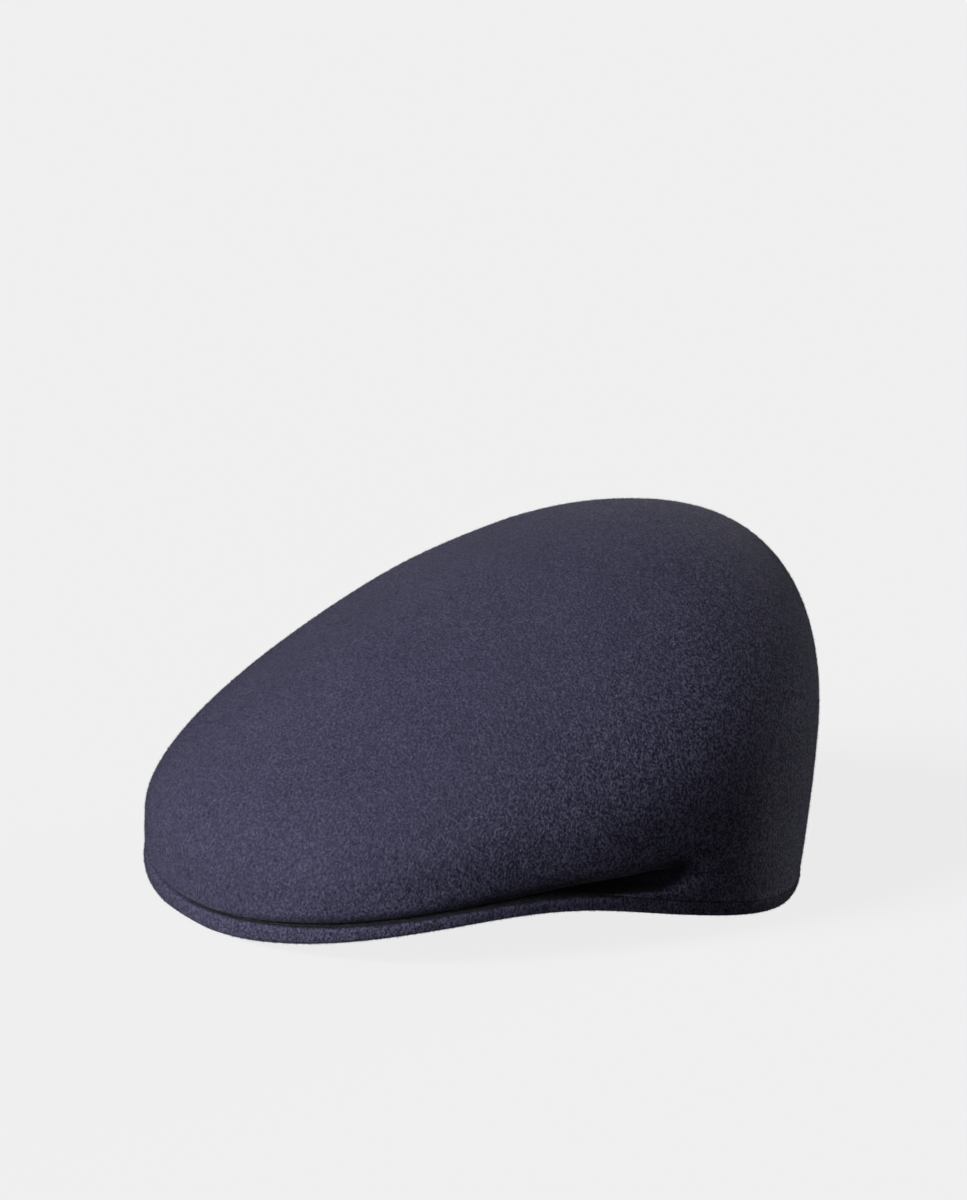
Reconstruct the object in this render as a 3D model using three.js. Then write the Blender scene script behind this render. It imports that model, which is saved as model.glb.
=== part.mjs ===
// Wool felt flat cap: a soft crown drawn forward over a short peak, lying on a table as it does unworn.
// Millimetres, +Z up. The peak points to -Y. The origin is on the table, in the middle of the cap.
import * as THREE from "three";
import { mergeVertices } from "three/addons/utils/BufferGeometryUtils.js";

// Driving dimensions
const centreHeight = 130; // height of the crown on its centre line
const topSlope = 0.24; // how steeply the crown falls to the front there
const centreSetBack = 30.75; // the centre line stands this far behind the middle of the cap
const felt = 3; // thickness of the crown's wall
const shoulderInset = 0.55; // share of it that keeps the wall even over the shoulder of the crown
const highestFold = 0.8; // a fold reaches no higher than this share of the wall below the bulge
const seamGap = 0.3; // between the crown's edge and the peak and hem
const lipRound = 2; // how far the rounded edge of the lip reaches in
const lipSquareness = 0.8; // 1 makes the rounding an ellipse, less makes it squarer
const flatShare = 0.1; // share of the peak's width that is level before its underside climbs
const innerRound = 0.5; // the same on the edge of the opening
const seatWidth = 6.5; // level strip on the peak that carries the crown's edge
const seatStart = 0.2; // on a narrow hem the strip starts this share of the way out from the opening
const columnCount = 72; // sections round the cap

// The crown's form above the fold, by the angle from the middle of the peak in degrees. Radii are measured
// from the upright centre line of the crown. bulge is the crown's widest place, and spread and lift say how
// full the crown is above it.
const crownForms = [
  { angle: 0, bulgeR: 161, bulgeZ: 25, spread: 0.4, lift: 0.36 },
  { angle: 25, bulgeR: 152, bulgeZ: 27.5, spread: 0.465, lift: 0.27 },
  { angle: 50, bulgeR: 122.3, bulgeZ: 40.5, spread: 0.51, lift: 0.33 },
  { angle: 62, bulgeR: 113, bulgeZ: 44, spread: 0.52, lift: 0.41 },
  { angle: 75, bulgeR: 106, bulgeZ: 49.5, spread: 0.52, lift: 0.465 },
  { angle: 88, bulgeR: 102.7, bulgeZ: 51.5, spread: 0.545, lift: 0.51 },
  { angle: 100, bulgeR: 101.3, bulgeZ: 49.5, spread: 0.575, lift: 0.585 },
  { angle: 112, bulgeR: 99.5, bulgeZ: 51, spread: 0.605, lift: 0.64 },
  { angle: 125, bulgeR: 98.7, bulgeZ: 55.5, spread: 0.625, lift: 0.7 },
  { angle: 150, bulgeR: 99, bulgeZ: 67, spread: 0.67, lift: 0.78 },
  { angle: 180, bulgeR: 99.5, bulgeZ: 79, spread: 0.7, lift: 0.84 },
];

// The peak and hem by the same angle. edge is where the crown ends in the groove. lip is the thickness of the
// rolled edge below. The opening for the head is openingR wide, climb is how much higher the peak is there,
// and plate is its thickness there.
const hemForms = [
  { angle: 0, edgeR: 160.5, edgeZ: 7, lip: 7.5, openingR: 108, climb: 23, plate: 4 },
  { angle: 25, edgeR: 151.5, edgeZ: 15, lip: 7, openingR: 105, climb: 13, plate: 4 },
  { angle: 50, edgeR: 120, edgeZ: 24.5, lip: 6, openingR: 100, climb: 0, plate: 5 },
  { angle: 75, edgeR: 101.5, edgeZ: 19, lip: 5.1, openingR: 96.5, climb: 0, plate: 5.1 },
  { angle: 100, edgeR: 99, edgeZ: 11, lip: 5, openingR: 94.5, climb: 0, plate: 5 },
  { angle: 125, edgeR: 97, edgeZ: 5, lip: 5, openingR: 92.7, climb: 0, plate: 5 },
  { angle: 150, edgeR: 96, edgeZ: 5, lip: 5, openingR: 91.7, climb: 0, plate: 5 },
  { angle: 180, edgeR: 94, edgeZ: 5, lip: 5, openingR: 89.7, climb: 0, plate: 5 },
];

// The fold where the crown hangs over, by the same angle. rise is the fold's height above the crown's edge
// and depth is how far the felt goes in under it. edgeShare is the part of that depth left at the edge:
// all of it at the groove over the peak, none where the band stands out again below the fold.
const folds = [
  { angle: 0, rise: 3, depth: 2.5, edgeShare: 1 },
  { angle: 40, rise: 3, depth: 2.5, edgeShare: 1 },
  { angle: 50, rise: 3.3, depth: 3.5, edgeShare: 0.9 },
  { angle: 58, rise: 4.8, depth: 5.5, edgeShare: 0.5 },
  { angle: 66, rise: 8, depth: 7, edgeShare: 0.2 },
  { angle: 75, rise: 14, depth: 6, edgeShare: 0 },
  { angle: 82, rise: 20, depth: 3.5, edgeShare: 0 },
  { angle: 92, rise: 26, depth: 1, edgeShare: 0 },
  { angle: 102, rise: 28, depth: 0, edgeShare: 0 },
  { angle: 180, rise: 28, depth: 0, edgeShare: 0 },
];

// Where the sections have points: shares of the way down the crown, down to the fold, and up the fold
const domeSteps = { outside: 10, inside: 7 };
const flankSteps = { outside: 3, inside: 2 };
const foldSteps = { outside: [0.92, 0.84, 0.76, 0.68, 0.5, 0.28, 0.12, 0], inside: [0.7, 0.4, 0] };

// Gives a function that reads the table at any angle, smooth and the same on both sides of the cap.
function readTable(rows) {
  const names = Object.keys(rows[0]).filter((name) => name !== "angle");
  const angles = rows.map((row) => row.angle);
  const values = rows.flatMap((row) => names.map((name) => row[name]));
  const curve = new THREE.CubicInterpolant(angles, values, names.length);
  curve.settings = { endingStart: THREE.ZeroSlopeEnding, endingEnd: THREE.ZeroSlopeEnding };
  return (angle) => {
    const found = curve.evaluate(Math.min(angle, 360 - angle));
    return Object.fromEntries(names.map((name, i) => [name, found[i]]));
  };
}

const crownAt = readTable(crownForms);
const hemAt = readTable(hemForms);
const foldAt = readTable(folds);

// One face of the crown in a section, from the top down to the edge, as points (radius, height).
function crownFace(angle, side) {
  const { bulgeR, bulgeZ, spread, lift } = crownAt(angle);
  const { edgeR, edgeZ } = hemAt(angle);
  const fold = foldAt(angle);
  const inset = side === "inside" ? felt : 0;
  const handleInset = shoulderInset * inset;
  const centre = new THREE.Vector2(0, centreHeight - inset);
  const reach = spread * bulgeR - handleInset;
  const fall = topSlope * reach * Math.cos(THREE.MathUtils.degToRad(angle));
  const dome = new THREE.CubicBezierCurve(
    centre,
    new THREE.Vector2(reach, centre.y - fall),
    new THREE.Vector2(bulgeR - inset, bulgeZ + lift * (centreHeight - bulgeZ) - handleInset),
    new THREE.Vector2(bulgeR - inset, bulgeZ),
  );
  const bottom = edgeZ + seamGap / 2;
  const foldTop = bottom + Math.min(fold.rise, highestFold * (bulgeZ - bottom));
  const flank = flankSteps[side];
  const heights = [
    ...Array.from({ length: flank }, (_, i) => THREE.MathUtils.lerp(bulgeZ, foldTop, (i + 1) / flank)),
    ...foldSteps[side].map((share) => THREE.MathUtils.lerp(bottom, foldTop, share)),
  ];
  const wall = heights.map((height) => {
    const down = (bulgeZ - height) / (bulgeZ - bottom);
    const drawnIn = (bulgeR - edgeR) * down * down;
    const tuck = Math.max(fold.depth, 0) * tuckShare((height - bottom) / (foldTop - bottom), fold, side);
    return new THREE.Vector2(bulgeR - inset - drawnIn - tuck, height);
  });
  return [...dome.getPoints(domeSteps[side]), ...wall];
}

// How much of the fold's depth is reached at a share of its height. The inside turns more softly.
function tuckShare(up, fold, side) {
  const [start, end] = side === "inside" ? [0.5, 1.35] : [0.68, 1];
  const under = 1 - THREE.MathUtils.smoothstep(up, start, end);
  const below = THREE.MathUtils.smoothstep(up, 0, 0.6);
  return under * THREE.MathUtils.lerp(fold.edgeShare, 1, below);
}

function crownSection(angle) {
  return [...crownFace(angle, "outside"), ...crownFace(angle, "inside").reverse()];
}

// The ring below the groove in a section: round the lip, in along the underside and back along the top.
function peakSection(angle) {
  const { edgeR, edgeZ, lip, openingR, climb, plate } = hemAt(angle);
  const top = edgeZ - seamGap / 2;
  const bottom = Math.max(edgeZ - lip, 0); // the felt is flattened where it rests on the table
  const middle = (top + bottom) / 2;
  const rolled = [90, 60, 30, 0, -30, -60, -90].map((turn) => {
    const around = THREE.MathUtils.degToRad(turn);
    const out = lipRound * Math.cos(around) ** lipSquareness;
    const up = Math.sign(turn) * Math.abs(Math.sin(around)) ** lipSquareness;
    return new THREE.Vector2(edgeR - lipRound + out, middle + (up * (top - bottom)) / 2);
  });
  const seatR = Math.max(edgeR - seatWidth, THREE.MathUtils.lerp(openingR, edgeR, seatStart));
  const innerR = openingR + innerRound;
  const rise = Math.max(climb, 0);
  const underside = [flatShare, 0.4, 0.7, 1].map((share) => {
    const radius = THREE.MathUtils.lerp(edgeR - lipRound, innerR, share);
    return new THREE.Vector2(radius, bottom + (rise * (share - flatShare)) / (1 - flatShare));
  });
  const innerTop = bottom + rise + Math.min(plate, top - bottom);
  const inner = [
    new THREE.Vector2(openingR, bottom + rise + (innerTop - bottom - rise) / 2),
    new THREE.Vector2(innerR, innerTop),
  ];
  const topSide = [0.45, 1].map((share) => new THREE.Vector2(
    THREE.MathUtils.lerp(innerR, seatR, share),
    THREE.MathUtils.lerp(innerTop, top, share),
  ));
  return [...rolled, ...underside, ...inner, ...topSide];
}

// Joins the sections all round the cap into one closed skin. A section that starts and ends at the centre
// line closes there by itself, and a loop is closed from its last point to its first.
function skinRound(sectionOf) {
  const points = [];
  const faces = [];
  for (let column = 0; column < columnCount; column++) {
    const angle = (360 * column) / columnCount;
    const around = THREE.MathUtils.degToRad(angle);
    for (const { x: radius, y: height } of sectionOf(angle))
      points.push(
        new THREE.Vector3(radius * Math.sin(around), centreSetBack - radius * Math.cos(around), height),
      );
  }
  const perColumn = points.length / columnCount;
  for (let column = 0; column < columnCount; column++) {
    const here = column * perColumn;
    const next = ((column + 1) % columnCount) * perColumn;
    for (let row = 0; row < perColumn; row++) {
      const below = (row + 1) % perColumn;
      faces.push([here + row, here + below, next + below], [here + row, next + below, next + row]);
    }
  }
  const triangle = new THREE.Triangle();
  const smallest = 1e-5; // faces on the centre line have no area and are left out
  const kept = faces.filter((face) => triangle.setFromPointsAndIndices(points, ...face).getArea() > smallest);
  const loose = new THREE.BufferGeometry().setFromPoints(points).setIndex(kept.flat());
  const geometry = mergeVertices(loose, 1e-4);
  geometry.computeVertexNormals();
  return geometry;
}

const feltLook = { color: 0x3f4053, roughness: 1, metalness: 0 };

function piece(name, sectionOf) {
  const mesh = new THREE.Mesh(skinRound(sectionOf), new THREE.MeshStandardMaterial(feltLook));
  mesh.name = name;
  return mesh;
}

const cap = new THREE.Group();
cap.add(piece("crown", crownSection));
cap.add(piece("peak_and_hem", peakSection));

export default cap;
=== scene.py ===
# Wool felt flat cap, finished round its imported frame: fine felt skins, the nap on them, floor, light, camera.
# Metres, +Z up. The peak points to -Y and the wearer's left side to +X.
import math

import bmesh
import bpy
import numpy as np
from mathutils import Matrix, Vector, noise


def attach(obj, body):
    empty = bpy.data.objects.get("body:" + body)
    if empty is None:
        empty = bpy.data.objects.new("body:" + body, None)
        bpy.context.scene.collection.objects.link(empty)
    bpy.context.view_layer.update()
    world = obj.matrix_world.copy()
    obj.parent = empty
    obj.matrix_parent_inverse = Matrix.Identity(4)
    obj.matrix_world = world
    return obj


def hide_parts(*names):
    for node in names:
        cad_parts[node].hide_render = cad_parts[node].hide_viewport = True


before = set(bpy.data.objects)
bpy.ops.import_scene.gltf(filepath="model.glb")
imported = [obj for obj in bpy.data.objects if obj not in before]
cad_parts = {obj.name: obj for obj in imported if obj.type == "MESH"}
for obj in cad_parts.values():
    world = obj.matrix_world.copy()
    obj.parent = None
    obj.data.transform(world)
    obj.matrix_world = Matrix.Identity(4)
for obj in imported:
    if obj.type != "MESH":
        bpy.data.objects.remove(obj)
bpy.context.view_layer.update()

mm = 0.001
sameSpot = 1e-6  # points nearer to each other than this are one point
emptyEdge = 1e-7  # a face with edges shorter than this is empty
print("frame loaded")

# The form of the felt, with its sizes in millimetres

formSizes = {
    "centreSetBack": 30.75,  # the crown's centre line stands this far behind the middle of the cap
    "columns": 360,  # sections round the cap
    "seamGap": 0.06,  # between the crown's edge and the peak and hem
    "napDepth": 0.35,  # the skin lies this much deeper where nap stands on it
    "seamEase": 2.5,  # at the seam it doesn't, and it gets that deep over this height from there
    "napFree": 1.0,  # no nap grows lower than this above the table
    "napShadeLimit": 0.5,  # nor where painted shade darkens the felt by more than this share
    "unpressed": (-40, -30, -16, 8),  # between these angles the groove over the peak and its painted shade fade out and in again
    "unpressedDepth": 0.4,  # share of its depth that is left where it has faded
}

# The crown's form above the fold, by the angle from the middle of the peak. Radii are from the crown's centre
# line. bulge is the crown's widest place, and spread and lift say how full it is above.
crownColumns = ("angle", "bulgeR", "bulgeZ", "spread", "lift")
crownRows = [
    (0, 161, 25, 0.40, 0.36),
    (25, 152, 27.5, 0.465, 0.27),
    (50, 122.3, 40.5, 0.51, 0.33),
    (62, 113, 44, 0.52, 0.41),
    (75, 106, 49.5, 0.52, 0.465),
    (88, 102.7, 51.5, 0.545, 0.51),
    (100, 101.3, 49.5, 0.575, 0.585),
    (112, 99.5, 51, 0.605, 0.64),
    (125, 98.7, 55.5, 0.625, 0.70),
    (150, 99, 67, 0.67, 0.78),
    (180, 99.5, 79, 0.70, 0.84),
]

# The peak and hem by the same angle. edge is where the crown ends in the groove, and lip is the thickness of
# the roll below it, with its upper and lower rounding. The plate climbs from there to the head opening.
hemColumns = ("angle", "edgeR", "edgeZ", "lip", "openingR", "climb", "plate", "topRound", "lowRound")
hemRows = [
    (0, 160.5, 7.4, 7.9, 108, 23, 4, 2.2, 2.4),
    (25, 151.5, 14, 6.4, 105, 13, 4, 2.4, 2.2),
    (50, 120, 23, 5.3, 100, 0, 5, 2.6, 1.2),
    (75, 101.5, 19, 5.9, 96.5, 0, 5.1, 1.6, 1.4),
    (100, 99, 11, 5.4, 94.5, 0, 5, 1.0, 2),
    (125, 97, 5, 5, 92.7, 0, 5, 0.9, 2),
    (150, 96, 5, 5, 91.7, 0, 5, 0.9, 2),
    (180, 94, 5, 5, 89.7, 0, 5, 0.9, 2),
]

# The fold where the crown hangs over, by the same angle. rise is its height above the crown's edge, depth is
# how far the felt goes in under it, edgeShare is the part of the depth left at the edge, nose is the share of
# the height that the rounded underside takes, soft turns that underside into a gentle slope, and ledge is the
# share of the height over which the band below comes out again to the edge.
foldColumns = ("angle", "rise", "depth", "edgeShare", "nose", "soft", "ledge")
foldRows = [
    (0, 3.5, 2, 1, 0.88, 0, 0.1),
    (22, 5.2, 3.8, 1, 0.86, 0, 0.1),
    (34, 6.2, 4.2, 1, 0.88, 0, 0.1),
    (44, 8.2, 5, 0.95, 0.9, 0, 0.1),
    (52, 10.4, 6.5, 0.8, 0.88, 0, 0.1),
    (59, 11.5, 9, 0.5, 0.8, 0, 0.1),
    (66, 12.4, 10.3, 0.2, 0.66, 0, 0.12),
    (73, 15, 10, 0, 0.55, 0.08, 0.24),
    (80, 20.5, 5.4, 0, 0.5, 0.4, 0.38),
    (85, 24, 1.8, 0, 0.5, 0.65, 0.5),
    (92, 28, 0, 0, 0.6, 1, 0.4),
    (180, 28, 0, 0, 0.6, 1, 0.4),
]


# Gives a function that reads the table at many angles at once, on a smooth curve through its rows that is
# level at both ends and the same on both sides of the cap.
def readTable(columns, rows):
    table = np.array(rows, float)
    knots, values = table[:, 0], table[:, 1:]
    gaps = np.diff(knots)[:, None]
    secants = np.diff(values, axis=0) / gaps
    count = len(knots)
    matrix = np.eye(count)
    sides = np.zeros_like(values)
    for i in range(1, count - 1):
        before, after = 1 / gaps[i - 1, 0], 1 / gaps[i, 0]
        matrix[i, i - 1:i + 2] = before, 2 * (before + after), after
        sides[i] = 3 * (before * secants[i - 1] + after * secants[i])
    slopes = np.linalg.solve(matrix, sides)

    def read(angles):
        folded = np.minimum(angles, 360 - angles)
        i = np.clip(np.searchsorted(knots, folded, side="right") - 1, 0, count - 2)
        share = ((folded - knots[i]) / gaps[i, 0])[:, None]
        start, end = values[i], values[i + 1]
        leaving, coming = slopes[i] * gaps[i], slopes[i + 1] * gaps[i]
        found = (
            start * (1 + 2 * share) * (1 - share) ** 2
            + leaving * share * (1 - share) ** 2
            + end * share ** 2 * (3 - 2 * share)
            - coming * share ** 2 * (1 - share)
        )
        return {name: found[:, j:j + 1] for j, name in enumerate(columns[1:])}

    return read


crownAt = readTable(crownColumns, crownRows)
hemAt = readTable(hemColumns, hemRows)
foldAt = readTable(foldColumns, foldRows)


def blend(start, end, share):
    return start + (end - start) * share


def softStep(value, low, high):
    share = np.clip((value - low) / (high - low), 0, 1)
    return share * share * (3 - 2 * share)


# How much of the groove over the peak there is at each angle, in its depth and in its painted shade.
def grooveShadeShare(angles):
    signed = (angles + 180) % 360 - 180
    fadeOut, faded, fadeIn, full = formSizes["unpressed"]
    return (1 - softStep(signed, fadeOut, faded) + softStep(signed, fadeIn, full))[:, None]


# Joins the sections all round the cap into one closed skin. Its points know whether nap grows there, how far
# the skin lies under the nap's ends, how much painted shade darkens the felt, and how much painted light
# lightens it.
def skinRound(name, loop):
    columns = formSizes["columns"]
    angles = np.arange(columns) * 360 / columns
    radii, heights, outside, fromSeam, paintedShade, paintedLight = loop(angles)
    around = np.radians(angles)[:, None]
    x = radii * np.sin(around)
    y = formSizes["centreSetBack"] - radii * np.cos(around)
    points = np.stack([x, y, heights + 0 * x], -1) * mm
    rows = radii.shape[1]
    column, row = np.meshgrid(np.arange(columns), np.arange(rows), indexing="ij")
    here, below = column * rows + row, column * rows + (row + 1) % rows
    across = (column + 1) % columns
    beside, besideBelow = across * rows + row, across * rows + (row + 1) % rows
    faces = np.stack([here, below, besideBelow, beside], -1).reshape(-1, 4)
    mesh = bpy.data.meshes.new(name)
    mesh.from_pydata(points.reshape(-1, 3), [], faces.tolist())
    marks = {
        "napped": outside * (heights > formSizes["napFree"]) * (paintedShade < formSizes["napShadeLimit"]),
        "napDepth": outside * np.clip(fromSeam / formSizes["seamEase"], 0, 1) * formSizes["napDepth"] * mm,
        "paintedShade": paintedShade,
        "paintedLight": paintedLight,
    }
    for label, values in marks.items():
        attribute = mesh.attributes.new(label, "FLOAT", "POINT")
        attribute.data.foreach_set("value", values.astype(np.float32).ravel())
    mergePoints(mesh)
    mesh.shade_smooth()
    piece = bpy.data.objects.new(name, mesh)
    bpy.context.scene.collection.objects.link(piece)
    return piece


# Joins the points that fall together, as those of all sections do on the centre line.
def mergePoints(mesh):
    built = bmesh.new()
    built.from_mesh(mesh)
    bmesh.ops.remove_doubles(built, verts=built.verts, dist=sameSpot)
    bmesh.ops.dissolve_degenerate(built, edges=built.edges, dist=emptyEdge)
    built.to_mesh(mesh)
    built.free()


# Moves the skin along its own normals, never below the table: in under its nap, and in and out by the slight
# unevenness of a blocked shape.
def unevenly(piece, waves):
    mesh = piece.data
    depths = mesh.attributes["napDepth"].data
    for vertex, normal in [(v, v.normal.copy()) for v in mesh.vertices]:
        push = sum(
            height * noise.noise(vertex.co / size + Vector((seed, 0, 0))) for size, height, seed in waves
        )
        vertex.co += normal * (push - depths[vertex.index].value)
        vertex.co.z = max(vertex.co.z, 0)
    mesh.update()


# One output of a node, with which nodes are written as plain arithmetic

class Value:
    def __init__(self, tree, socket):
        self.tree, self.socket = tree, socket

    def sibling(self, name):  # another output of the same node
        return Value(self.tree, self.socket.node.outputs[name])

    def maths(self, operation, other, swapped=False):
        inputs = [other, self] if swapped else [self, other]
        return node(self.tree, "ShaderNodeMath", {"operation": operation}, inputs)

    def __add__(self, other):
        return self.maths("ADD", other)

    def __sub__(self, other):
        return self.maths("SUBTRACT", other)

    def __mul__(self, other):
        return self.maths("MULTIPLY", other)

    def __rsub__(self, other):
        return self.maths("SUBTRACT", other, swapped=True)

    __radd__ = __add__
    __rmul__ = __mul__


# Adds a node: its settings first, then the values or links of its sockets, by place or by name. It gives back
# one output, or nothing from a node that ends a tree.
def node(tree, kind, settings=None, inputs=(), output=0):
    added = tree.nodes.new(kind)
    for key, value in (settings or {}).items():
        if key == "stops":
            stops = added.color_ramp.elements  # a new ramp has two
            for i, (place, tone) in enumerate(value):
                stop = stops[i] if i < 2 else stops.new(place)
                stop.position, stop.color = place, tone
        else:
            setattr(added, key, value)
    pairs = inputs.items() if isinstance(inputs, dict) else enumerate(inputs)
    for key, value in pairs:
        socket = added.inputs[key]
        if isinstance(value, Value):
            tree.links.new(value.socket, socket)
        else:
            socket.default_value = value
    return Value(tree, added.outputs[output]) if added.outputs else None


# The sockets of a Mix node go by place, because those for numbers and for colours share their names.
def mixColours(tree, share, first, second):
    settings = {"data_type": "RGBA", "blend_type": "MIX", "clamp_factor": True}
    return node(tree, "ShaderNodeMix", settings, {0: share, 6: first, 7: second}, output=2)


def plainMaterial(name, colour, rough, specular, sheen):
    material = bpy.data.materials.new(name)
    material.use_nodes = True
    shader = material.node_tree.nodes["Principled BSDF"]
    shader.inputs["Base Color"].default_value = (*colour, 1)
    shader.inputs["Roughness"].default_value = rough
    shader.inputs["Specular IOR Level"].default_value = specular
    shader.inputs["Sheen Weight"].default_value = sheen
    return material


# The felt, with sizes in metres on the object and tones as the ends and middle of one ramp

feltLook = {
    "dark": (0.013, 0.0125, 0.025),
    "middle": (0.0440, 0.0425, 0.077),
    "light": (0.106, 0.104, 0.170),
    "patchSize": 0.030,
    "patchContrast": 0.15,
    # painted shade: grooves and folds go towards this near-black tone, by the share below at most
    "paintedShadeTone": (0.0032, 0.0032, 0.0064),
    "grooveShadeShare": 0.93,
    "grainSize": 0.0009,
    "grainDetail": 2.5,
    "grainRough": 0.75,
    "grainContrast": 1.65,
    "curlSize": 0.0010,
    "curlContrast": 0.08,
    "curlHeight": 0.3,  # beside the grain's own
    "tuftSize": 0.0030,
    "tuftDetail": 1.0,
    "tuftContrast": 0.20,
    "tuftHeight": 0.3,
    "grazingFall": 1.45,  # where the painted contrast grows, height counts this many times as much as the way back
    "grazingFrom": -0.165,  # the grain's painted contrast, standing for relief in grazing light, grows from here, high at the front
    "grazingTo": -0.032,  # to here, low at the back
    "grazingContrast": 4.6,  # times the front's
    "backEaseFrom": 0.050,  # the painted contrast falls again from here behind the side
    "backEaseTo": 0.105,  # to here at the back
    "backEaseShare": 0.35,  # to this share
    "paintedLightLift": 0.13,  # painted light that makes the rolled lip lighter
    "combing": 0.84,  # under 1 draws the grain out up and down
    "bumpStrength": 1.0,
    "bumpHeight": 0.0005,
    "leastRough": 0.85,
    "mostRough": 1.0,
    "specular": 0.1,
    "sheen": 0.10,
    "sheenSpread": 0.3,
    "sheenTint": (1.0, 1.0, 0.97),
}


# Felted wool: matted grain with curls and tufts in its colour and its bump, and soft patches where the nap
# lies differently. The grain's contrast is painted up where the key light grazes, as relief shade. Painted
# shade makes it almost black in grooves and folds, and painted light makes the rolled lip lighter.
def feltMaterial(name, look):
    material = bpy.data.materials.new(name)
    material.use_nodes = True
    tree = material.node_tree
    tree.nodes.clear()
    place = node(tree, "ShaderNodeTexCoord", output="Object")
    combed = node(tree, "ShaderNodeMapping", None, {"Vector": place, "Scale": (1, 1, look["combing"])})

    def cloud(where, size, detail=2.0, rough=0.5):
        inputs = {"Vector": where, "Scale": 1 / size, "Detail": detail, "Roughness": rough}
        return node(tree, "ShaderNodeTexNoise", None, inputs)

    def growing(value, start, end, low, high):
        inputs = {"Value": value, "From Min": start, "From Max": end, "To Min": low, "To Max": high}
        return node(tree, "ShaderNodeMapRange", {"interpolation_type": "SMOOTHSTEP"}, inputs)

    patches = cloud(place, look["patchSize"])
    grain = cloud(combed, look["grainSize"], look["grainDetail"], look["grainRough"])
    backward = node(tree, "ShaderNodeSeparateXYZ", None, {"Vector": place}, output="Y")
    # painted relief shade: the grain's contrast grows towards the back and low, where the key light grazes, and
    # eases at the back
    lowAndBack = backward - backward.sibling("Z") * look["grazingFall"]
    grazing = growing(lowAndBack, look["grazingFrom"], look["grazingTo"], 1.0, look["grazingContrast"])
    backEase = growing(backward, look["backEaseFrom"], look["backEaseTo"], 1.0, look["backEaseShare"])
    tufts = cloud(combed, look["tuftSize"], look["tuftDetail"])
    curls = 1 - node(
        tree, "ShaderNodeTexVoronoi", {"feature": "F1"},
        {"Vector": combed, "Scale": 1 / look["curlSize"], "Randomness": 1.0},
    )
    shade = (grain - 0.5) * look["grainContrast"] + (curls - 0.5) * look["curlContrast"]
    shade = (shade + (tufts - 0.5) * look["tuftContrast"]) * (grazing * backEase)
    # painted light: the rolled lip is made lighter
    paintedLight = node(tree, "ShaderNodeAttribute", {"attribute_name": "paintedLight"}, output="Fac")
    shade = shade + (patches - 0.5) * look["patchContrast"] + paintedLight * look["paintedLightLift"] + 0.5
    stops = [(0.0, (*look["dark"], 1)), (0.5, (*look["middle"], 1)), (1.0, (*look["light"], 1))]
    colour = node(tree, "ShaderNodeValToRGB", {"stops": stops}, {"Fac": shade})
    # painted shade: grooves and folds turn almost black
    paintedShade = node(tree, "ShaderNodeAttribute", {"attribute_name": "paintedShade"}, output="Fac")
    colour = mixColours(tree, paintedShade * look["grooveShadeShare"], colour, (*look["paintedShadeTone"], 1))
    height = grain + curls * look["curlHeight"] + tufts * look["tuftHeight"]
    bump = node(
        tree, "ShaderNodeBump", None,
        {"Strength": look["bumpStrength"], "Distance": look["bumpHeight"], "Height": height},
    )
    rough = node(
        tree, "ShaderNodeMapRange", None,
        {"Value": grain, "To Min": look["leastRough"], "To Max": look["mostRough"]},
    )
    shader = node(
        tree, "ShaderNodeBsdfPrincipled", None,
        {"Base Color": colour, "Roughness": rough, "Normal": bump, "Specular IOR Level": look["specular"],
         "Sheen Weight": look["sheen"], "Sheen Roughness": look["sheenSpread"],
         "Sheen Tint": (*look["sheenTint"], 1)},
    )
    node(tree, "ShaderNodeOutputMaterial", None, {"Surface": shader})
    return material


felt = feltMaterial("felt", feltLook)

# The crown

crownSizes = {
    "centreHeight": 130,  # height on the centre line
    "topSlope": 0.24,  # how steeply it falls to the front there
    "felt": 3,  # thickness of the wall
    "shoulderInset": 0.55,  # share of it that keeps the wall even over the shoulder
    "thinnest": 1.4,  # least thickness of the wall, where a fold is sharpest
    "thinnestAt": (-1, -0.7, 0, 0.7, 1),  # kept at these heights on a circle that wide round an inner point
    "edgeRound": 0.8,  # rounding of the lower edge
    "highestFold": 0.8,  # a fold reaches no higher than this share of the wall below the bulge
    "bandShare": 0.3,  # share of a ledge's height that stands upright as the band below the fold
    "innerFold": 0.85,  # share of a fold's depth that shows on the inside
    "innerUnder": (0.5, 1.35),  # it fades there between these shares of the fold's height
    "innerBelow": (0, 0.6),  # and grows from the edge's depth between these
    "paintedShade": (0.3, 3.2),  # painted shade darkens the felt between these depths in a fold or groove
    "outerRows": {"dome": 96, "flank": 18, "nose": 14, "pocket": 20},
    "innerRows": {"dome": 40, "flank": 8, "pocket": 20},
    "rowCrowding": 1.6,  # over 1 draws the pocket's rows together towards the edge
    "waves": [(0.050, 0.0004, 1), (0.018, 0.00006, 9)],  # size across and height in metres, seed
}


# The outside of the fold in every section, from its top down to the crown's edge: shares of its height, and
# shares of its depth there.
def foldOutside(fold, rows):
    turn = np.linspace(0, 1, rows["nose"] + 1)[None, 1:]
    roundUp, roundIn = np.sin(turn * math.pi / 2), 1 - np.cos(turn * math.pi / 2)
    noseUp = 1 - fold["nose"] * blend(roundUp, turn, fold["soft"])
    noseIn = blend(roundIn, softStep(turn, 0, 1), fold["soft"])
    down = np.linspace(1, 0, rows["pocket"] + 1)[None, 1:]
    belowUp = (1 - fold["nose"]) * down ** crownSizes["rowCrowding"]
    ledge = np.minimum(fold["ledge"], 1 - fold["nose"])
    belowIn = blend(fold["edgeShare"], 1, softStep(belowUp, crownSizes["bandShare"] * ledge, ledge))
    return np.hstack([noseUp, belowUp]), np.hstack([noseIn, belowIn])


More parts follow.
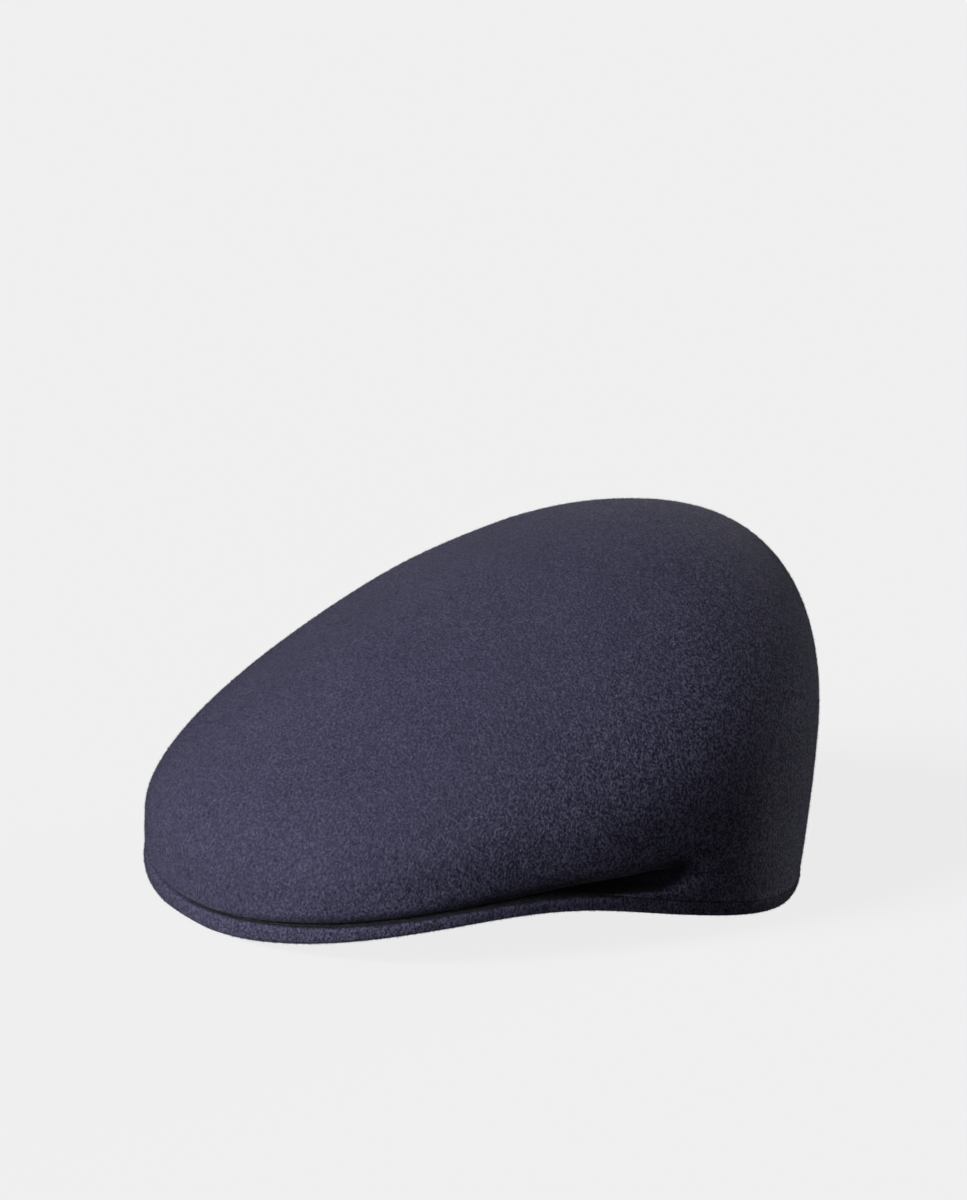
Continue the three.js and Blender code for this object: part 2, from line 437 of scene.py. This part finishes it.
# How far in the wall's inside has to lie at each of its heights, for the wall to stay thick enough.
def behindFold(up, tuck, rise):
    thinnest, felt = crownSizes["thinnest"], crownSizes["felt"]
    level = np.linspace(1, 0, crownSizes["innerRows"]["pocket"] + 1)[1:]
    least = []
    for shares, depths, height in zip(up, tuck, rise[:, 0]):
        nearby = [
            np.interp(level + shift * thinnest / height, shares[::-1], depths[::-1])
            + thinnest * math.sqrt(1 - shift * shift) - felt
            for shift in crownSizes["thinnestAt"]
        ]
        least.append(np.max(nearby, axis=0))
    return np.array(least)


# One face of the crown in every section, from the top down to the edge: its radii, its heights, and its
# painted shade in folds and grooves.
def crownFace(angles, side, rows):
    form, fold = crownSizes, foldAt(angles)
    part = {**crownAt(angles), **hemAt(angles)}
    inset = form["felt"] if side == "inside" else 0
    handleInset = form["shoulderInset"] * inset
    bulgeR, bulgeZ = part["bulgeR"], part["bulgeZ"]
    reach = part["spread"] * bulgeR - handleInset
    fall = form["topSlope"] * reach * np.cos(np.radians(angles))[:, None]
    topZ = form["centreHeight"] - inset
    corners = [
        (0 * reach, topZ + 0 * reach),
        (reach, topZ - fall),
        (bulgeR - inset, bulgeZ + part["lift"] * (form["centreHeight"] - bulgeZ) - handleInset),
        (bulgeR - inset, bulgeZ),
    ]
    on = np.linspace(0, 1, rows["dome"])[None, :]
    weights = ((1 - on) ** 3, 3 * on * (1 - on) ** 2, 3 * on ** 2 * (1 - on), on ** 3)
    domeR = sum(weight * corner[0] for weight, corner in zip(weights, corners))
    domeZ = sum(weight * corner[1] for weight, corner in zip(weights, corners))

    bottom = part["edgeZ"] + formSizes["seamGap"] / 2
    rise = np.minimum(fold["rise"], form["highestFold"] * (bulgeZ - bottom))
    flank = np.linspace(0, 1, rows["flank"] + 1)[None, 1:]
    flankZ = blend(bulgeZ, bottom + rise, flank)
    depth = np.maximum(fold["depth"], 0) * blend(formSizes["unpressedDepth"], 1, grooveShadeShare(angles))
    up, tucked = foldOutside(fold, form["outerRows"])
    tuck = tucked * depth
    if side == "inside":
        least = behindFold(up, tuck, rise)
        up = np.linspace(1, 0, rows["pocket"] + 1)[None, 1:] + 0 * bulgeR
        under = 1 - softStep(up, *form["innerUnder"])
        softly = under * blend(fold["edgeShare"], 1, softStep(up, *form["innerBelow"]))
        tuck = np.maximum(form["innerFold"] * softly * depth, least)
    heights = np.hstack([flankZ, bottom + rise * up])
    tuck = np.hstack([0 * flankZ, tuck])
    # painted shade, darker the deeper the felt lies in a fold or groove
    paintedShade = softStep(tuck, *form["paintedShade"])
    if side == "outside":
        corner = np.clip(1 - (heights - bottom) / form["edgeRound"], 0, 1)
        tuck = tuck + form["edgeRound"] * (1 - np.sqrt(1 - corner ** 2))
    down = (bulgeZ - heights) / (bulgeZ - bottom)
    wallR = bulgeR - inset - (bulgeR - part["edgeR"]) * down ** 2 - tuck
    return np.hstack([domeR, wallR]), np.hstack([domeZ, heights]), np.hstack([0 * domeR, paintedShade])


# The crown's whole wall in every section: down its outside and back up its inside.
def crownLoop(angles):
    outerR, outerZ, outerShade = crownFace(angles, "outside", crownSizes["outerRows"])
    innerR, innerZ, _ = crownFace(angles, "inside", crownSizes["innerRows"])
    radii, heights = np.hstack([outerR, innerR[:, ::-1]]), np.hstack([outerZ, innerZ[:, ::-1]])
    outside = np.arange(radii.shape[1])[None, :] < outerR.shape[1]
    fromSeam = heights - hemAt(angles)["edgeZ"]
    paintedShade = np.hstack([outerShade, 0 * innerR]) * grooveShadeShare(angles)
    paintedLight = 0 * radii
    return radii, heights, outside + 0 * radii, fromSeam, paintedShade, paintedLight


crown = skinRound("feltCrown", crownLoop)
unevenly(crown, crownSizes["waves"])
crown.data.materials.append(felt)
print("crown built,", len(crown.data.polygons), "faces")

# The peak and the hem

peakSizes = {
    "roundRows": 7,  # over each rounding
    "plateRows": 8,  # along each face
    "innerRound": 1.2,  # rounding of the head opening's edge
    "flatShare": 0.1,  # share of the peak's width that is level before its underside climbs
    "seatWidth": 6.5,  # level strip that carries the crown's edge
    "seatStart": 0.2,  # on a narrow hem the strip starts this share of the way out
    "paintedShade": (0.3, 1.6),  # painted shade darkens the top between these distances in from its edge, under the crown's edge
    "paintedLight": (55, 95),  # painted light makes the lip lighter up to the first angle, and not from the second
    "waves": [(0.050, 0.0003, 1), (0.018, 0.00006, 5)],  # size across and height in metres, seed
}


# The lip, the peak's underside and the hem in every section: out over the lip, in below and back on top.
def peakLoop(angles):
    form, part = peakSizes, hemAt(angles)
    edgeR, openingR, climb = part["edgeR"], part["openingR"], np.maximum(part["climb"], 0)
    top = part["edgeZ"] - formSizes["seamGap"] / 2
    bottom = np.maximum(part["edgeZ"] - part["lip"], 0)
    half = (top - bottom) / 2
    turn = np.radians(np.linspace(90, 0, form["roundRows"]))[None, :]
    topR, topZ = part["topRound"], np.minimum(part["topRound"], half)
    lowR, lowZ = part["lowRound"], np.minimum(part["lowRound"], half)
    upper = edgeR - topR * (1 - np.cos(turn)), top - topZ * (1 - np.sin(turn))
    lower = edgeR - lowR * (1 - np.cos(turn[:, ::-1])), bottom + lowZ * (1 - np.sin(turn[:, ::-1]))
    innerTop = bottom + climb + np.minimum(part["plate"], top - bottom)
    innerR = openingR + form["innerRound"]
    flat = form["flatShare"]
    share = np.linspace(flat, 1, form["plateRows"])[None, :]
    under = blend(edgeR - lowR, innerR, share), bottom + climb * (share - flat) / (1 - flat)
    wrap = np.radians(np.linspace(-90, 90, form["roundRows"]))[None, 1:]
    halfInner = (innerTop - bottom - climb) / 2
    inner = innerR - form["innerRound"] * np.cos(wrap), bottom + climb + halfInner * (1 + np.sin(wrap))
    seatR = np.maximum(edgeR - form["seatWidth"], blend(openingR, edgeR, form["seatStart"]))
    back = np.linspace(0, 1, form["plateRows"])[None, 1:]
    above = blend(innerR, seatR, back), blend(innerTop, top, back)
    parts = [upper, lower, under, inner, above]
    radii, heights = (np.hstack([piece[i] + 0 * edgeR for piece in parts]) for i in (0, 1))
    row = np.arange(radii.shape[1])[None, :]
    outside = row < upper[0].shape[1] + lower[0].shape[1]
    topSide = (row < upper[0].shape[1]) | (row >= radii.shape[1] - above[0].shape[1])
    # painted shade on the top near its edge, where the crown's edge overhangs it
    paintedShade = topSide * softStep(edgeR - radii, *form["paintedShade"]) * grooveShadeShare(angles)
    # painted light on the lip at the front
    paintedLight = 1 - softStep(np.minimum(angles, 360 - angles), *form["paintedLight"])[:, None]
    return radii, heights, outside + 0 * radii, part["edgeZ"] - heights, paintedShade, paintedLight + 0 * radii


peak = skinRound("feltPeakAndHem", peakLoop)
unevenly(peak, peakSizes["waves"])
peak.data.materials.append(felt)
print("peak and hem built,", len(peak.data.polygons), "faces")

# The nap: short fibres that stand out of the felt at a slant, in three tones, made by one node tree

napShape = {
    "slant": 54,  # degrees from upright
    "spread": 24,  # more or less than that
    "corners": 3,  # of a fibre's section
    "lengths": (0.5, 1.25),  # shortest and longest, times the kind's own
    "rough": 0.9,
    "specular": 0.1,
    "sheen": 0.05,
}
napKinds = {
    "Dark": {"tone": (0.033, 0.032, 0.060), "length": 0.00085, "thickness": 0.00012, "seed": 11},
    "Middle": {"tone": (0.048, 0.047, 0.087), "length": 0.00085, "thickness": 0.00012, "seed": 12},
    "Light": {"tone": (0.070, 0.069, 0.124), "length": 0.0008, "thickness": 0.00010, "seed": 13},
}
napCounts = {"crown": 46000, "peak": 9000}  # about so many fibres of each kind


def napTree(name, shape):
    tree = bpy.data.node_groups.new(name, "GeometryNodeTree")
    tree.interface.new_socket("Geometry", in_out="INPUT", socket_type="NodeSocketGeometry")
    for label in ("Density", "Length", "Thickness", "Slant", "Spread"):
        tree.interface.new_socket(label, in_out="INPUT", socket_type="NodeSocketFloat")
    tree.interface.new_socket("Seed", in_out="INPUT", socket_type="NodeSocketInt")
    tree.interface.new_socket("Material", in_out="INPUT", socket_type="NodeSocketMaterial")
    tree.interface.new_socket("Geometry", in_out="OUTPUT", socket_type="NodeSocketGeometry")
    asked = node(tree, "NodeGroupInput").sibling

    # a number for each fibre, with a seed of its own for each thing that varies
    def random(low, high, turn):
        inputs = {2: low, 3: high, "Seed": asked("Seed") + turn}
        return node(tree, "FunctionNodeRandomValue", {"data_type": "FLOAT"}, inputs, output=1)

    napped = node(
        tree, "GeometryNodeInputNamedAttribute", {"data_type": "FLOAT"}, {"Name": "napped"},
        output="Attribute",
    )
    scattered = node(
        tree, "GeometryNodeDistributePointsOnFaces", {"distribute_method": "RANDOM"},
        {"Mesh": asked("Geometry"), "Density": asked("Density") * napped, "Seed": asked("Seed")},
    )
    slant = random(asked("Slant") - asked("Spread"), asked("Slant") + asked("Spread"), 1)
    lean = node(tree, "ShaderNodeCombineXYZ", None, [slant, 0.0, random(0.0, 2 * math.pi, 2)])
    turned = node(
        tree, "FunctionNodeRotateRotation", {"rotation_space": "LOCAL"},
        [scattered.sibling("Rotation"), node(tree, "FunctionNodeEulerToRotation", None, [lean])],
    )
    fibre = node(
        tree, "GeometryNodeMeshCone", {"fill_type": "NGON"},
        {"Vertices": shape["corners"], "Radius Top": 0.0, "Radius Bottom": asked("Thickness") * 0.5,
         "Depth": asked("Length")},
    )
    size = random(*shape["lengths"], 3)
    placed = node(
        tree, "GeometryNodeInstanceOnPoints", None,
        {"Points": scattered, "Instance": fibre, "Rotation": turned,
         "Scale": node(tree, "ShaderNodeCombineXYZ", None, [1.0, 1.0, size])},
    )
    real = node(tree, "GeometryNodeRealizeInstances", None, {"Geometry": placed})
    finished = node(
        tree, "GeometryNodeSetMaterial", None, {"Geometry": real, "Material": asked("Material")}
    )
    node(tree, "NodeGroupOutput", None, {"Geometry": finished})
    return tree


def nappedArea(piece):
    mesh = piece.data
    napped = np.zeros(len(mesh.vertices), np.float32)
    mesh.attributes["napped"].data.foreach_get("value", napped)
    return sum(face.area * float(napped[list(face.vertices)].mean()) for face in mesh.polygons)


# Runs the tree on a skin and keeps the result as a plain mesh of its own.
def growNap(name, skin, tree, kind, material, count):
    modifier = skin.modifiers.new("nap", "NODES")
    modifier.node_group = tree
    asked = {
        "Density": count / nappedArea(skin), "Length": kind["length"], "Thickness": kind["thickness"],
        "Slant": math.radians(napShape["slant"]), "Spread": math.radians(napShape["spread"]),
        "Seed": kind["seed"], "Material": material,
    }
    for socket in tree.interface.items_tree:
        if socket.in_out == "INPUT" and socket.name in asked:
            modifier[socket.identifier] = asked[socket.name]
    graph = bpy.context.evaluated_depsgraph_get()
    mesh = bpy.data.meshes.new_from_object(skin.evaluated_get(graph), depsgraph=graph)
    skin.modifiers.remove(modifier)
    mesh.name = name
    nap = bpy.data.objects.new(name, mesh)
    bpy.context.scene.collection.objects.link(nap)
    print(name, "grown,", len(mesh.polygons), "faces")
    return nap


feltNap = napTree("feltNap", napShape)
naps = []
for label, kind in napKinds.items():
    fibre = plainMaterial(
        "fibre" + label, kind["tone"], napShape["rough"], napShape["specular"], napShape["sheen"]
    )
    naps.append(growNap("crownNap" + label, crown, feltNap, kind, fibre, napCounts["crown"]))
    naps.append(growNap("peakNap" + label, peak, feltNap, kind, fibre, napCounts["peak"]))

for piece in (crown, peak, *naps):
    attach(piece, "root")
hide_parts("crown")
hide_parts("peak_and_hem")
print("pieces ride on the frame")

# Floor, light and camera

studio = {
    "floorSize": 60.0,
    "floorGap": 0.0002,  # the floor lies this far under the hem, so the two never share a plane
    "floorTone": (0.08, 0.08, 0.08),
    "floorGlow": 0.813,
    "skyStrength": 0.01,
    "backdropTone": 0.87,
    "suns": [  # azimuth as for the camera, elevation, strength, softness in degrees
        (0, 33, 3.0, 20),
        (0, 5, 2.35, 20),
        (185, 5, 2.3, 30),
        (60, 5, 0.3, 20),
    ],
}
cameraSet = {
    "azimuth": 53.97,
    "elevation": 16.48,
    "roll": 3.67,
    "distance": 1.5,
    "aim": (0, -0.00325, 0.06),  # this point of the cap
    "aimPixel": (482.6, 717.9),  # shows here in the picture
    "picture": (967, 1200),
    "lens": 121.0,
    "sensor": 36.0,
}


def directionFrom(azimuth, elevation):
    around, above = math.radians(azimuth), math.radians(elevation)
    return Vector((math.sin(around) * math.cos(above), -math.cos(around) * math.cos(above), math.sin(above)))


def makeCamera(settings):
    around = math.radians(settings["azimuth"])
    back = directionFrom(settings["azimuth"], settings["elevation"])
    right = Vector((math.cos(around), math.sin(around), 0))
    up = back.cross(right)
    level = Matrix((right, up, back)).transposed().to_4x4()
    width, height = settings["picture"]
    focal = settings["lens"] / settings["sensor"] * height
    aside = math.atan((settings["aimPixel"][0] - width / 2) / focal)
    lower = math.atan((settings["aimPixel"][1] - height / 2) / focal)
    turned = (
        level @ Matrix.Rotation(math.radians(settings["roll"]), 4, "Z")
        @ Matrix.Rotation(aside, 4, "Y") @ Matrix.Rotation(lower, 4, "X")
    )
    camera = bpy.data.objects.new("camera", bpy.data.cameras.new("camera"))
    camera.data.lens, camera.data.sensor_width = settings["lens"], settings["sensor"]
    turned.translation = Vector(settings["aim"]) + back * settings["distance"]
    camera.matrix_world = turned
    bpy.context.scene.collection.objects.link(camera)
    bpy.context.scene.camera = camera


# The floor shows pale and takes a soft shadow, but throws no light back on the cap.
def makeFloor(size, gap, tone, glow):
    mesh = bpy.data.meshes.new("floor")
    half = size / 2
    corners = [(x * half, y * half, -gap) for x, y in ((-1, -1), (1, -1), (1, 1), (-1, 1))]
    mesh.from_pydata(corners, [], [(0, 1, 2, 3)])
    floor = bpy.data.objects.new("floor", mesh)
    bpy.context.scene.collection.objects.link(floor)
    pale = plainMaterial("paleFloor", tone, rough=1.0, specular=0.0, sheen=0.0)
    shader = pale.node_tree.nodes["Principled BSDF"]
    shader.inputs["Emission Color"].default_value = (1, 1, 1, 1)
    shader.inputs["Emission Strength"].default_value = glow
    mesh.materials.append(pale)
    floor.visible_diffuse = False
    floor.visible_glossy = False


def makeSun(azimuth, elevation, strength, softness):
    lamp = bpy.data.lights.new("studioLight", "SUN")
    lamp.energy, lamp.angle = strength, math.radians(softness)
    sun = bpy.data.objects.new("studioLight", lamp)
    sun.rotation_euler = directionFrom(azimuth, elevation).to_track_quat("Z", "Y").to_euler()
    bpy.context.scene.collection.objects.link(sun)


# A faint even light from all round, behind a backdrop as pale as the floor.
def makeSky(strength, backdrop):
    world = bpy.data.worlds.new("studio")
    world.use_nodes = True
    tree = world.node_tree
    seen = node(tree, "ShaderNodeLightPath", output="Is Camera Ray")
    level = seen * (backdrop - strength) + strength
    tree.links.new(level.socket, tree.nodes["Background"].inputs["Strength"])
    tree.nodes["Background"].inputs["Color"].default_value = (1, 1, 1, 1)
    bpy.context.scene.world = world


makeCamera(cameraSet)
makeFloor(studio["floorSize"], studio["floorGap"], studio["floorTone"], studio["floorGlow"])
for sun in studio["suns"]:
    makeSun(*sun)
makeSky(studio["skyStrength"], studio["backdropTone"])
bpy.context.scene.view_settings.view_transform = "Standard"
print("studio set")
